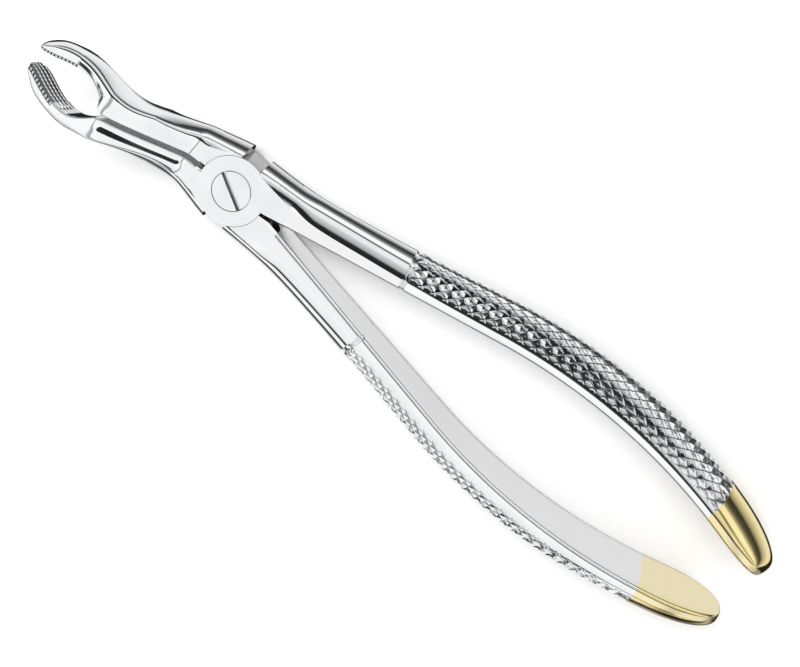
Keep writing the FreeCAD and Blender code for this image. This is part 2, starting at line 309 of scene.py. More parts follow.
def along_path(path, where):
    """The points at the given distances along a path."""
    lengths = path_lengths(path)
    return np.stack([np.interp(where, lengths, path[:, axis]) for axis in (0, 1)], axis=1)


def resample(points, count):
    """count + 1 points at even steps along a path."""
    path = np.array(points)
    wanted = np.linspace(0.0, path_lengths(path)[-1], count + 1)
    return [tuple(point) for point in along_path(path, wanted)]


# ---------------------------------------------------------------- sections

def outline(depth, flat, half, edge, shoulder, crease=0.0, flat_steps=FLAT_STEPS, inner_steps=INNER_STEPS):
    """Closed outline of a bar's section, and a tag for each of its sides.

    Its points are (out from the inner face, up from the middle). edge is the path from the inner face
    to the flat side, as (out, distance down from the flat side)."""
    edge_path = [(out, half - down) for out, down in edge]
    curve = outer_curve(depth, flat, half, crease, CURVE_STEPS)
    reach = next(i for i, point in enumerate(curve) if math.dist(point, curve[0]) >= shoulder)
    flat_end = (max(flat - shoulder, edge_path[-1][0] + EDGE_ROUNDING), half)
    across = spaced(edge_path[-1][0], flat_end[0], flat_steps)
    runs = [
        ("inner", [(edge_path[0][0], share * edge_path[0][1]) for share in spaced(0.0, 1.0, inner_steps)]),
        ("edge", edge_path),
        ("flat", [(out, half) for out in across]),
        ("outer", bend(flat_end, curve[0], curve[reach], SHOULDER_STEPS)),
        ("outer", resample(curve[reach:], OUTER_STEPS)),
    ]
    points = [runs[0][1][0]]
    tags = []
    for tag, run in runs:
        points += run[1:]
        tags += [tag] * (len(run) - 1)
    mirrored = [(out, -up) for out, up in reversed(points[1:-1])]
    return points + mirrored, tags + tags[::-1]


def chamfer_edge(size, rounding):
    """A flat chamfer with both of its corners slightly rounded."""
    step = rounding * math.sqrt(0.5)
    inner = bend((0.0, size + rounding), (0.0, size), (step, size - step), CHAMFER_STEPS)
    outer = bend((size - step, step), (size, 0.0), (size + rounding, 0.0), CHAMFER_STEPS)
    return inner + outer


def round_edge(size, start=0.0, steps=ROUND_STEPS):
    """A plain rounded edge that begins at start."""
    return bend((start, size), (start, 0.0), (start + size, 0.0), steps)


def hollow_edge(width, depth):
    """A hollow that lies level beside the inner face, then climbs in a straight slope to the flat side."""
    lip = bend((0.0, depth + HOLLOW_LIP), (0.0, depth), (HOLLOW_LIP, depth), CHAMFER_STEPS)
    low_end = width - depth / math.tan(HOLLOW_CLIMB)
    middle = ((low_end + width) / 2.0, depth / 2.0)
    floor = bend((HOLLOW_LIP, depth), (low_end, depth), middle, HOLLOW_STEPS - CHAMFER_STEPS - 1)
    return lip + floor[1:] + [(width, 0.0)]


def smooth_step(x, start, end):
    """0 at start, 1 at end, and smooth between them."""
    share = min(1.0, max(0.0, (x - start) / (end - start)))
    return share * share * (3.0 - 2.0 * share)


def handle_line(x):
    """Distance of the handle's inner face from the middle plane, and its direction in radians."""
    slope_angle = math.atan(HANDLE_SLOPE)
    bow_start_x = BOW_PEAK_X - BOW_RADIUS * math.sin(slope_angle)
    bow_start_y = BOW_PEAK_Y - BOW_RADIUS * (1.0 - math.cos(slope_angle))
    if x < bow_start_x:
        return bow_start_y + HANDLE_SLOPE * (x - bow_start_x), slope_angle
    run = x - BOW_PEAK_X
    y = BOW_PEAK_Y - BOW_RADIUS + math.sqrt(BOW_RADIUS ** 2 - run ** 2)
    return y, -math.asin(run / BOW_RADIUS)


def tip_share(x):
    """How much of the full section is left where the handle rounds off to its tip."""
    run = min(1.0, max(0.0, (x - (HANDLE_TIP_X - TIP_LENGTH)) / TIP_LENGTH))
    return max((1.0 - run ** TIP_POWER) ** (1.0 / TIP_POWER), TIP_END_SHARE)


def handle_size(x, inset=0.0, proud=0.0):
    """Depth, flat side, half width and inner rise of the handle's section at x."""
    share = tip_share(x)
    depth_share = share ** TIP_DEPTH_POWER
    half = spline(HANDLE_HALF_WIDTH, x) * share - inset - SKIN_INSET
    depth = spline(HANDLE_DEPTH, x) * depth_share - inset - SKIN_INSET + proud
    return depth, spline(HANDLE_FLAT, x) * depth_share, half, TIP_INNER_RISE * (1.0 - share)


def handle_ring(x, side, points, rise=0.0):
    """Places a section's points on the handle at x."""
    y, angle = handle_line(x)
    ring = []
    for out, up in points:
        away = rise + out
        ring.append(Vector((
            x - math.sin(angle) * away, side * (y + math.cos(angle) * away), JOINT_THICKNESS / 2.0 + up
        )))
    return ring


def beak_lean(x):
    """How far the beak's section leans along X for each millimetre of its height."""
    return BEAK_LEAN * min(1.0, max(0.0, (LEAN_START_X - x) / (LEAN_START_X - LEAN_END_X)))


def beak_tip_share(x):
    """How much of the full height is left where the beak rounds off to its tip."""
    run = min(1.0, max(0.0, (BEAK_TIP_X + BEAK_TIP_ROUNDING - x) / BEAK_TIP_ROUNDING))
    return math.sqrt(1.0 - (1.0 - BEAK_TIP_END_SHARE ** 2) * run ** 2)


def beak_frame(x):
    """The neck's or beak's middle height, its half height, and how far from the middle plane its inner
    face, its outer side's middle and its flat side's outer end lie, all at x."""
    top = spline(BEAK_TOP_Z, x) if x < BEAK_TOP_Z[-1][0] else level_spline(NECK_TOP_Z, x)
    bottom = level_spline(BOTTOM_Z, x)
    middle = (top + bottom) / 2.0
    half = (top - bottom) / 2.0 * beak_tip_share(x)
    return middle, half, spline(BEAK_INNER_Y, x), spline(OUTER_MIDDLE_Y, x), spline(OUTER_TOP_Y, x)


def beak_ring(x, side, points):
    """Places a section's points on the neck or beak at x."""
    middle, _, inner, _, _ = beak_frame(x)
    lean = beak_lean(x)
    return [Vector((x + lean * up, side * (inner + out), middle + up)) for out, up in points]


# ---------------------------------------------------------------- meshes

# Faces that meet at a larger angle than this keep a sharp edge
SHARP_ANGLE = math.radians(28.0)
# How much of a rounded end's shrinking comes in the first of its two rings
SOFT_NEAR_SHARE = 0.25


def add_piece(name, points, faces, slots):
    """A closed mesh from points in millimetres. slots gives each face's place in its list of materials."""
    mesh = bpy.data.meshes.new(name)
    mesh.from_pydata([point * MM for point in points], [], faces)
    mesh.polygons.foreach_set("material_index", slots)
    mesh.validate()
    mesh.shade_smooth()
    mesh.set_sharp_from_angle(angle=SHARP_ANGLE)
    piece = bpy.data.objects.new(name, mesh)
    bpy.context.scene.collection.objects.link(piece)
    return piece


def skin(rings, slot_of_side, mirrored):
    """Points, faces and slots of the closed skin over a row of rings. mirrored turns the faces over."""
    count = len(rings[0])
    points = [point for ring in rings for point in ring]
    faces = []
    slots = []
    for i in range(len(rings) - 1):
        for j in range(count):
            after = (j + 1) % count
            faces.append((i * count + j, i * count + after, (i + 1) * count + after, (i + 1) * count + j))
            slots.append(slot_of_side(j))
    last = (len(rings) - 1) * count
    faces.append(tuple(range(count - 1, -1, -1)))
    faces.append(tuple(range(last, last + count)))
    slots += [0, 0]
    if mirrored:
        faces = [face[::-1] for face in faces]
    return points, faces, slots


def finish_piece(piece, node, materials):
    """Gives the piece its materials and puts it in its CAD node's place."""
    for material in materials:
        piece.data.materials.append(material)
    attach(piece, "front_half" if node.startswith("front") else "back_half")
    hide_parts(node)


def soft_end(ring, before, share, step):
    """Two rings that round off the end of a row: one a little before its last ring, and a small last one."""
    centre = sum(ring, Vector()) / len(ring)
    back = (sum(before, Vector()) / len(before) - centre).normalized() * step
    near = [centre + (point - centre) * (1.0 - (1.0 - share) * SOFT_NEAR_SHARE) + back for point in ring]
    far = [centre + (point - centre) * share for point in ring]
    return [near, far]


# ---------------------------------------------------------------- pieces

def slots_for(tags):
    """Flat sides take the satin material, the rest the polished one."""
    return lambda j: 1 if tags[j] in ("inner", "flat") else 0


def top_width(x, side):
    """Width of the neck's or beak's flat side at x. The +Y side is the back half's."""
    _, _, inner, outer, flat_edge = beak_frame(x)
    extra = BACK_EXTRA * smooth_step(x, BACK_EXTRA_START_X, BACK_EXTRA_FULL_X)
    extra *= smooth_step(x, BACK_EXTRA_STOP_X, NECK_FULL_X)
    if side == MINUS_Y:
        return flat_edge - inner
    return min(flat_edge - inner + extra, outer - inner - BACK_FLAT_MARGIN)


def beak_shoulder(x, width):
    """Size of the rounding between the flat side and the outer side."""
    full = NECK_SHOULDER * smooth_step(x, SHOULDER_STOP_X, NECK_FULL_X) + LEAST_SHOULDER
    return min(full, SHOULDER_SHARE * width)


def ground_depth(x, across):
    """How far the neck's ground face lies under its outer part, across being the way from its inner edge."""
    start = smooth_step(x, GROUND_START_X, GROUND_FULL_X)
    end = smooth_step(x, GROUND_STOP_X, GROUND_FADE_X)
    rise = min(1.0, max(0.0, (across - GROUND_STRIP) / GROUND_RISE))
    height = RISE_STRAIGHT * rise + RISE_ROUNDED * smooth_step(rise, 0.0, 1.0)
    return GROUND_DEPTH * start * end * (1.0 - height)


def neck(name, side, polished, satin):
    """The neck. Its front face is polished, and satin where it joins the disc. Its inner face is satin."""
    stations = spaced(NECK_BEAK_X, JOINT_NECK_X, NECK_STEPS)
    share = BACK_GROUND_SHARE if side == PLUS_Y else 1.0
    rings = []
    for x in stations:
        _, half, inner, outer, _ = beak_frame(x)
        width = top_width(x, side)
        edge = round_edge(min(NECK_EDGE, NECK_EDGE_SHARE * width))
        shoulder = beak_shoulder(x, width)
        points, tags = outline(outer - inner, width, half, edge, shoulder, flat_steps=GROUND_STEPS)
        first = tags.index("flat")
        start = points[first][0]
        for k in range(INNER_STEPS, first + GROUND_STEPS + 1):
            out, up = points[k]
            points[k] = (out, up - share * ground_depth(x, max(0.0, out - start)))
        rings.append(beak_ring(x, side, points))
    points, faces, slots = skin(rings, lambda j: 1 if tags[j] == "inner" else 0, side == PLUS_Y)
    for k in range(len(faces) - 2):
        i, j = divmod(k, len(tags))
        if tags[j] == "flat" and stations[i] > SATIN_NECK_X:
            slots[k] = 1
    piece = add_piece(name + "_visual", points, faces, slots)
    finish_piece(piece, name, (polished, satin))


def beak_edge(x, side, width):
    """The beak's inner edge: hollowed on the back half, at +Y, and a small rounding on the front half."""
    if x < INSERT_END_X:
        return round_edge(INSERT_SEAT_EDGE, INSERT_THICKNESS, HOLLOW_STEPS)
    if side == MINUS_Y:
        return round_edge(BEAK_EDGE, 0.0, HOLLOW_STEPS)
    hollow = HOLLOW_SHARE * width
    fade = smooth_step(x, HOLLOW_STOP_X, HOLLOW_FADE_X)
    return hollow_edge(hollow, HOLLOW_SLOPE * hollow * fade + HOLLOW_LEAST)


def run_out(x, up, half):
    """Depth of the insert's lengthwise grooves where they run out on the beak's inner face."""
    depth = RIDGE_DEPTH * smooth_step(x, RUN_OUT_X, RUN_OUT_FULL_X)
    fade = smooth_step(half - abs(up), *RUN_OUT_RIM)
    return valley(RIDGES_HIGH * (0.5 + up / (2.0 * half + RUN_OUT_BEVELS)), depth * fade)


def beak(name, side, polished):
    """The beak. Its inner face steps back where the insert is seated."""
    stations = spaced(BEAK_TIP_X, INSERT_END_X - SEAT_STEP, SEAT_STEPS)
    stations += spaced(INSERT_END_X, NECK_BEAK_X, BEAK_STEPS)
    rings = []
    for x in stations:
        _, half, inner, outer, _ = beak_frame(x)
        width = top_width(x, side)
        seat = INSERT_THICKNESS if x < INSERT_END_X else 0.0
        edge = beak_edge(x, side, width)
        shoulder = beak_shoulder(x, width - seat)
        points, _ = outline(outer - inner, width, half, edge, shoulder, inner_steps=RUN_OUT_STEPS)
        if x >= INSERT_END_X:
            points = [(run_out(x, up, half) if out == 0.0 else out, up) for out, up in points]
        rings.append(beak_ring(x, side, points))
    rings = soft_end(rings[0], rings[2], BEAK_LAST_SHARE, BEAK_LAST_STEP)[::-1] + rings[2:]
    piece = add_piece(name + "_visual", *skin(rings, lambda j: 0, side == PLUS_Y))
    finish_piece(piece, name, (polished,))


def off_whole(u):
    """Distance from u to the nearest whole number."""
    return abs((u + 0.5) % 1.0 - 0.5)


def valley(u, depth):
    """How far a row of V grooves lies below its flat crests, at u grooves from the first one."""
    return depth * max(0.0, 1.0 - 2.0 * off_whole(u) / (1.0 - RIDGE_LAND))


def insert_path(half):
    """The insert's gripping face from its lower edge to its upper one, as (out, up)."""
    bevel = min(INSERT_THICKNESS, INSERT_BEVEL_SHARE * half)
    start = (0.0, half - bevel)
    corner = (INSERT_CORNER, half - INSERT_CORNER)
    upper = [(0.0, 0.0)] + bend(start, corner, (INSERT_THICKNESS, half), INSERT_BEND_STEPS)
    return [(out, -up) for out, up in reversed(upper[1:])] + upper


def insert(name, side, crest, groove):
    """The gripping insert, with lengthwise ridges crossed by finer cuts. Its crests take the polished steel
    and the rest a very dark carbide, partly the insert's own carbide and partly painted shade in the
    serrations.
    """
    cells_long = TEETH_LONG * CELLS_PER_TOOTH
    cells_high = RIDGES_HIGH * CELLS_PER_TOOTH
    rings = []
    falls = []
    for i, x in enumerate(spaced(BEAK_TIP_X, INSERT_END_X, cells_long)):
        _, half, _, _, _ = beak_frame(x)
        tip = smooth_step(x, BEAK_TIP_X, BEAK_TIP_X + INSERT_TIP_FADE)
        points = []
        for j, (out, up) in enumerate(resample(insert_path(half), cells_high)):
            ridge = RIDGE_DEPTH * tip * smooth_step(half - abs(up), *RIDGE_RIM)
            tooth = TOOTH_DEPTH * tip * (1.0 - TOOTH_FADE * smooth_step(half - up, TOOTH_FULL, TOOTH_REACH))
            fall = max(valley(j / CELLS_PER_TOOTH, ridge), valley(i / CELLS_PER_TOOTH, tooth))
            falls.append(fall)
            tuck = TUCK_SHARE * max(0.0, fall + out - TUCK_START)
            points.append((min(out + fall, INSERT_THICKNESS - INSERT_LEAST), up - tuck))
        back = [(INSERT_THICKNESS, half * share) for share in spaced(1.0, -1.0, INSERT_BACK_STEPS)]
        rings.append(beak_ring(x, side, points + back[1:-1]))
    points, faces, slots = skin(rings, lambda j: 1, side == PLUS_Y)
    # Only the shallow crest cells keep the bright steel; the deeper cells stay very dark, painted shade in
    # the cuts.
    for i in range(cells_long):
        for j in range(cells_high):
            corners = [falls[(i + a) * (cells_high + 1) + j + b] for a in (0, 1) for b in (0, 1)]
            if sum(corners) < RIDGE_DEPTH:
                slots[i * len(rings[0]) + j] = 0
    piece = add_piece(name + "_visual", points, faces, slots)
    finish_piece(piece, name, (crest, groove))


def handle_outline(x, inset=0.0, proud=0.0):
    """The handle's section at x, made smaller all round by inset and deeper by proud."""
    depth, flat, half, _ = handle_size(x, inset, proud)
    share = tip_share(x)
    edge = chamfer_edge(HANDLE_CHAMFER * share, EDGE_ROUNDING * share)
    crease = HANDLE_CREASE * smooth_step(x, JOINT_SHANK_X, CREASE_FULL_X)
    return outline(depth, flat, half, edge, HANDLE_SHOULDER * share, crease)


def shank(name, side, polished, satin):
    """The smooth shank, with the ring groove at its end."""
    groove_x = GROOVE_END_X - GROOVE_LENGTH
    stations = [(x, 0.0) for x in spaced(JOINT_SHANK_X, groove_x, SHANK_STEPS)]
    for share in spaced(0.0, 1.0, GROOVE_STEPS)[1:]:
        depth = GROOVE_DEPTH * (1.0 - abs(2.0 * share - 1.0) ** GROOVE_POWER)
        stations.append((GROOVE_END_X - GROOVE_LENGTH * (1.0 - share), depth))
    rings = []
    for x, inset in stations:
        points, tags = handle_outline(x, inset)
        rings.append(handle_ring(x, side, points))
    piece = add_piece(name + "_visual", *skin(rings, slots_for(tags), side == PLUS_Y))
    finish_piece(piece, name, (polished, satin))


def handle_end(name, side, polished, satin):
    """The plated end: a small raised lip round its outer side, then smooth to the rounded tip."""
    quarter = math.pi / 2.0
    lip_x = GRIP_END_X + END_CAP_LIP
    tip_x = HANDLE_TIP_X - TIP_LENGTH
    stations = []
    for turn in spaced(0.0, quarter, LIP_STEPS):
        stations.append((GRIP_END_X + END_CAP_LIP * (1.0 - math.cos(turn)), math.sin(turn)))
    stations += [(x, 1.0) for x in spaced(lip_x, tip_x, END_STEPS)[1:]]
    stations += [(tip_x + TIP_LENGTH * math.sin(turn), 1.0) for turn in spaced(0.0, quarter, TIP_STEPS)[1:]]
    rings = []
    for x, proud in stations:
        points, tags = handle_outline(x, 0.0, END_CAP_STEP * proud * tip_share(x))
        _, _, _, rise = handle_size(x)
        rings.append(handle_ring(x, side, points, rise))
    rings = rings[:-1] + soft_end(rings[-1], rings[-3], HANDLE_LAST_SHARE, HANDLE_LAST_STEP)
    piece = add_piece(name + "_visual", *skin(rings, slots_for(tags), side == PLUS_Y))
    finish_piece(piece, name, (polished, satin))


def knurl_strips(side):
    """Width of the plain strip at the +Z side and at the -Z side of the grip."""
    return (NARROW_STRIP, WIDE_STRIP) if side == PLUS_Y else (WIDE_STRIP, NARROW_STRIP)


def knurl_depth(x, u, v):
    """Depth of the knurling at x, u diamonds from the grip's start and v diamonds from the zone's edge."""
    end_fade = min(1.0, (x - GROOVE_END_X) / KNURL_END_FADE, (GRIP_END_X - x) / KNURL_END_FADE)
    past = CELLS_PAST_EDGE / CELLS_PER_DIAMOND
    side_fade = np.minimum(1.0, (np.minimum(v, DIAMONDS_ROUND - v) + past) / KNURL_SIDE_FADE)
    full = KNURL_DEPTH * side_fade * max(0.0, end_fade)
    slope = 2.0 * KNURL_DEPTH * KNURL_CREST_SHARE
    return np.maximum(0.0, np.maximum(full - slope * off_whole(u + v), full - slope * off_whole(u - v)))


def grip_ring(x, u, side):
    """The grip's section at x with its knurling, u being the count of diamonds from its start."""
    points, tags = handle_outline(x)
    outer = [k for k, tag in enumerate(tags) if tag in ("flat", "outer")]
    path = np.array([points[k] for k in outer] + [points[outer[-1] + 1]])
    length = path_lengths(path)[-1]
    upper, lower = knurl_strips(side)
    cells = DIAMONDS_ROUND * CELLS_PER_DIAMOND + 2 * CELLS_PAST_EDGE
    where = np.concatenate([
        np.linspace(0.0, upper, STRIP_STEPS + 1)[:-1],
        np.linspace(upper, length - lower, cells + 1),
        np.linspace(length - lower, length, STRIP_STEPS + 1)[1:],
    ])
    spot = along_path(path, where)
    along = along_path(path, where + TANGENT_STEP) - along_path(path, where - TANGENT_STEP)
    along /= np.linalg.norm(along, axis=1)[:, None]
    inward = np.stack([along[:, 1], -along[:, 0]], axis=1)
    v = np.arange(-CELLS_PAST_EDGE, cells - CELLS_PAST_EDGE + 1) / CELLS_PER_DIAMOND
    knurled = slice(STRIP_STEPS, STRIP_STEPS + cells + 1)
    spot[knurled] += inward[knurled] * knurl_depth(x, u, v)[:, None]
    ring = points[:outer[0]] + [tuple(point) for point in spot] + points[outer[-1] + 2:]
    strip = ["strip"] * STRIP_STEPS
    ring_tags = tags[:outer[0]] + strip + ["knurl"] * cells + strip + tags[outer[-1] + 1:]
    return ring, ring_tags


def cut_cell(corners, rising, falling):
    """A cell of the knurling, cut along the crest or groove that crosses it."""
    a, b, c, d = corners
    half_cells = CELLS_PER_DIAMOND // 2
    if rising % half_cells == 0:
        return [(a, b, c), (a, c, d)]
    if falling % half_cells == 0:
        return [(a, b, d), (b, c, d)]
    return [corners]


def grip(name, side, polished, satin, groove):
    """The knurled grip: steel crests, grooves given a dark colour as painted shade, and plain strips at its
    sides.
    """
    cells_long = DIAMONDS_LONG * CELLS_PER_DIAMOND
    rings = []
    for i, x in enumerate(spaced(GROOVE_END_X, GRIP_END_X, cells_long)):
        section, tags = grip_ring(x, i / CELLS_PER_DIAMOND, side)
        rings.append(handle_ring(x, side, section))
    points, faces, slots = skin(rings, slots_for(tags), side == PLUS_Y)
    first = tags.index("knurl") + CELLS_PAST_EDGE
    count = len(tags)
    cut_faces = []
    cut_slots = []
    for k, face in enumerate(faces):
        i, j = divmod(k, count)
        if i >= cells_long or tags[j] != "knurl":
            cut_faces.append(face)
            cut_slots.append(slots[k])
            continue
        corners = (i * count + j, i * count + j + 1, (i + 1) * count + j + 1, (i + 1) * count + j)
        rising = i - (j - first)
        falling = i + (j - first) + 1
        in_zone = 0 <= j - first < DIAMONDS_ROUND * CELLS_PER_DIAMOND
        in_painted_shade_groove = in_zone and (rising % CELLS_PER_DIAMOND == 0 or falling % CELLS_PER_DIAMOND == 0)
        parts = cut_cell(corners, rising, falling)
        if side == PLUS_Y:
            parts = [part[::-1] for part in parts]
        cut_faces += parts
        # Faces along the knurling's grooves take the dark colour, painted shade in the valleys.
        cut_slots += [2 if in_painted_shade_groove else 0] * len(parts)
    piece = add_piece(name + "_visual", points, cut_faces, cut_slots)
    finish_piece(piece, name, (polished, satin, groove))


# ---------------------------------------------------------------- materials

# Brushed grain is stretched along the instrument. The noise in use runs from NOISE_LOW to NOISE_HIGH
ALONG = (0.06, 1.0, 1.0)
EVEN = (1.0, 1.0, 1.0)
NOISE_LOW = 0.3
NOISE_HIGH = 0.7
PATCH_SCALE = 160.0
PATCH_DETAIL = 3.0
GRAIN_DETAIL = 2.0

# Dark and light colour, least and most roughness, grain to the metre, its depth in metres, and its stretch
METALS = {
    "polished_steel": ((0.80, 0.81, 0.82), (0.86, 0.87, 0.88), 0.05, 0.09, 2500.0, 1e-7, ALONG),
    "satin_steel": ((0.84, 0.84, 0.85), (0.90, 0.90, 0.91), 0.30, 0.36, 4000.0, 8e-7, ALONG),
    "knurled_steel": ((0.78, 0.79, 0.80), (0.86, 0.87, 0.88), 0.07, 0.14, 2500.0, 2e-7, ALONG),
    "polished_gold": ((0.84, 0.71, 0.33), (0.92, 0.79, 0.40), 0.10, 0.15, 2500.0, 1e-7, ALONG),
    "satin_gold": ((0.90, 0.79, 0.50), (0.96, 0.85, 0.56), 0.28, 0.34, 4000.0, 8e-7, ALONG),
    # The next colour is painted shade: it darkens the grooves of the knurling.
    "groove_painted_shade": ((0.16, 0.16, 0.17), (0.30, 0.30, 0.31), 0.16, 0.28, 2500.0, 2e-7, ALONG),
    # The next colour is the insert's carbide, made very dark as painted shade in its serrations.
    "carbide_with_painted_shade": ((0.10, 0.10, 0.11), (0.20, 0.20, 0.20), 0.12, 0.24, 3000.0, 1e-6, EVEN),
}

# The joint's steel: its faces, and its walls with a darker colour that is painted shade, told apart by how
# upright the surface's normal stands
FACE_COLOURS = ((0.82, 0.83, 0.84), (0.89, 0.89, 0.90))
SHADED_WALL_COLOURS = ((0.20, 0.20, 0.21), (0.42, 0.42, 0.42))
FACE_NORMAL = (0.97, 0.995)
SHADED_WALL_NORMAL = (0.02, 0.12)
JOINT_ROUGHNESS = (0.07, 0.33)
JOINT_GRAIN = 4000.0
JOINT_GRAIN_DEPTH = 5e-7
RING_SCALE = 900.0
RING_DISTORTION = 0.4

# Where a colour mix node keeps its two colours and its result
MIX_FIRST = 6
MIX_SECOND = 7
MIX_RESULT = 2

# The screw's small roundings: lengths in millimetres, and the angles that count as flat and as an edge
SCREW_BEVEL = 0.07
SCREW_BEVEL_STEPS = 2
WELD_DISTANCE = 0.002
FLAT_ANGLE = math.radians(0.3)
EDGE_ANGLE = math.radians(40.0)


def new_material(name):
    """A material, its nodes, its links and its shader."""
    material = bpy.data.materials.new(name)
    material.use_nodes = True
    nodes = material.node_tree.nodes
    return material, nodes, material.node_tree.links, nodes["Principled BSDF"]


def noise_node(nodes, links, scale, detail, stretch=EVEN):
    """Noise in the piece's own coordinates, in metres, stretched along its axes."""
    place = nodes.new("ShaderNodeTexCoord")
    mapping = nodes.new("ShaderNodeMapping")
    mapping.inputs["Scale"].default_value = stretch
    texture = nodes.new("ShaderNodeTexNoise")
    texture.inputs["Scale"].default_value = scale
    texture.inputs["Detail"].default_value = detail
    links.new(place.outputs["Object"], mapping.inputs["Vector"])
    links.new(mapping.outputs["Vector"], texture.inputs["Vector"])
    return texture.outputs["Fac"]


def map_range(nodes, links, source, span, target, result=(0.0, 1.0)):
    """Feeds a socket with a number that goes through result as the source goes through span."""
    spread = nodes.new("ShaderNodeMapRange")
    spread.inputs["From Min"].default_value = span[0]
    spread.inputs["From Max"].default_value = span[1]
    spread.inputs["To Min"].default_value = result[0]
    spread.inputs["To Max"].default_value = result[1]
    links.new(source, spread.inputs["Value"])
    links.new(spread.outputs["Result"], target)


def tint(nodes, links, source, dark, light, target):
    """Feeds a socket with a colour between dark and light."""
    ramp = nodes.new("ShaderNodeValToRGB")
    ramp.color_ramp.elements[0].position = NOISE_LOW
    ramp.color_ramp.elements[0].color = (*dark, 1.0)
    ramp.color_ramp.elements[1].position = NOISE_HIGH
    ramp.color_ramp.elements[1].color = (*light, 1.0)
    links.new(source, ramp.inputs["Fac"])
    links.new(ramp.outputs["Color"], target)


def bump(nodes, links, height, depth, shader):
    """Fine relief from a height, depth being in metres."""
    relief = nodes.new("ShaderNodeBump")
    relief.inputs["Strength"].default_value = 1.0
    relief.inputs["Distance"].default_value = depth
    links.new(height, relief.inputs["Height"])
    links.new(relief.outputs["Normal"], shader.inputs["Normal"])


def metal(name, dark, light, smooth, rough, grain, depth, stretch):
    """Metal with a colour and roughness that vary a little, and fine grain along it."""
    material, nodes, links, shader = new_material(name)
    shader.inputs["Metallic"].default_value = 1.0
    patches = noise_node(nodes, links, PATCH_SCALE, PATCH_DETAIL)
    tint(nodes, links, patches, dark, light, shader.inputs["Base Color"])
    map_range(nodes, links, patches, (NOISE_LOW, NOISE_HIGH), shader.inputs["Roughness"], (smooth, rough))
    bump(nodes, links, noise_node(nodes, links, grain, GRAIN_DETAIL, stretch), depth, shader)
    return material


def ring_lines(nodes, links):
    """Turning marks: rings round the piece's Z axis."""
    lines = nodes.new("ShaderNodeTexWave")
    lines.wave_type = "RINGS"
    lines.rings_direction = "Z"
    lines.inputs["Scale"].default_value = RING_SCALE
    lines.inputs["Distortion"].default_value = RING_DISTORTION
    place = nodes.new("ShaderNodeTexCoord")
    links.new(place.outputs["Object"], lines.inputs["Vector"])
    return lines.outputs["Fac"]


def uprightness(nodes, links):
    """How upright the surface's normal stands: 1 on a face that looks up or down, and 0 on a wall."""
    shape = nodes.new("ShaderNodeNewGeometry")
    split = nodes.new("ShaderNodeSeparateXYZ")
    upright = nodes.new("ShaderNodeMath")
    upright.operation = "ABSOLUTE"
    links.new(shape.outputs["True Normal"], split.inputs["Vector"])
    links.new(split.outputs["Z"], upright.inputs[0])
    return upright.outputs["Value"]


def joint_metal(name, turned):
    """Steel that is satin on its flat front and back faces, and polished on its walls, whose colour is
    painted darker as painted shade.
    """
    material, nodes, links, shader = new_material(name)
    shader.inputs["Metallic"].default_value = 1.0
    patches = noise_node(nodes, links, PATCH_SCALE, PATCH_DETAIL)
    wall_shade_mix = nodes.new("ShaderNodeMix")
    wall_shade_mix.data_type = "RGBA"
    tint(nodes, links, patches, *SHADED_WALL_COLOURS, wall_shade_mix.inputs[MIX_FIRST])
    tint(nodes, links, patches, *FACE_COLOURS, wall_shade_mix.inputs[MIX_SECOND])
    links.new(wall_shade_mix.outputs[MIX_RESULT], shader.inputs["Base Color"])
    upright = uprightness(nodes, links)
    map_range(nodes, links, upright, FACE_NORMAL, shader.inputs["Roughness"], JOINT_ROUGHNESS)
    # Walls get the darker colour: painted shade by the normal's direction.
    map_range(nodes, links, upright, SHADED_WALL_NORMAL, wall_shade_mix.inputs["Factor"])
    if turned:
        height = ring_lines(nodes, links)
    else:
        height = noise_node(nodes, links, JOINT_GRAIN, GRAIN_DETAIL, ALONG)
    bump(nodes, links, height, JOINT_GRAIN_DEPTH, shader)
    return material


metals = {name: metal(name, *numbers) for name, numbers in METALS.items()}
metals["joint_steel"] = joint_metal("joint_steel", False)
metals["screw_steel"] = joint_metal("screw_steel", True)


def finish_node(name, material):
    """Gives a CAD node that stays its material, and hands the node back."""
    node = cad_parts[name]
    node.data.materials.clear()
    node.data.materials.append(material)
    return node


def round_screw_edges(node):
    """Small roundings along the screw's rim and slot."""
    weld = node.modifiers.new("join faces", "WELD")
    weld.merge_threshold = WELD_DISTANCE * MM
    flat = node.modifiers.new("join flat faces", "DECIMATE")
    flat.decimate_type = "DISSOLVE"
    flat.angle_limit = FLAT_ANGLE
    bevel = node.modifiers.new("round edges", "BEVEL")
    bevel.limit_method = "ANGLE"
    bevel.angle_limit = EDGE_ANGLE
    bevel.width = SCREW_BEVEL * MM
    bevel.segments = SCREW_BEVEL_STEPS
    bevel.use_clamp_overlap = False
    shading = node.modifiers.new("shade by face size", "WEIGHTED_NORMAL")
    shading.keep_sharp = False


for label, side in HANDLE_SIDES.items():
    neck(label + "_neck", -side, metals["polished_steel"], metals["satin_steel"])
    beak(label + "_beak", -side, metals["polished_steel"])
    insert(label + "_beak_insert", -side, metals["polished_steel"], metals["carbide_with_painted_shade"])
    shank(label + "_shank", side, metals["polished_steel"], metals["satin_steel"])
    grip(label + "_grip", side, metals["knurled_steel"], metals["satin_steel"], metals["groove_painted_shade"])
    handle_end(label + "_handle_end", side, metals["polished_gold"], metals["satin_gold"])
    finish_node(label + "_joint", metals["joint_steel"])
round_screw_edges(finish_node("pivot_screw", metals["screw_steel"]))


# ---------------------------------------------------------------- floor, light and camera

# Floor and light: lengths in metres, power in watts. The floor is FLOOR_SIZE each way from its middle
FLOOR_SIZE = 3.0
FLOOR_GAP = 0.0001
FLOOR_COLOURS = ((0.925, 0.925, 0.925), (0.935, 0.935, 0.935))
FLOOR_ROUGHNESS = 0.9
FLOOR_SPECULAR = 0.1
FLOOR_GRAIN = 900.0
FLOOR_DETAIL = 4.0
SOFTBOX_PLACE = (-0.25, 0.35, 0.7)
SOFTBOX_SIZE = (0.5, 0.35)
SOFTBOX_POWER = 4.0

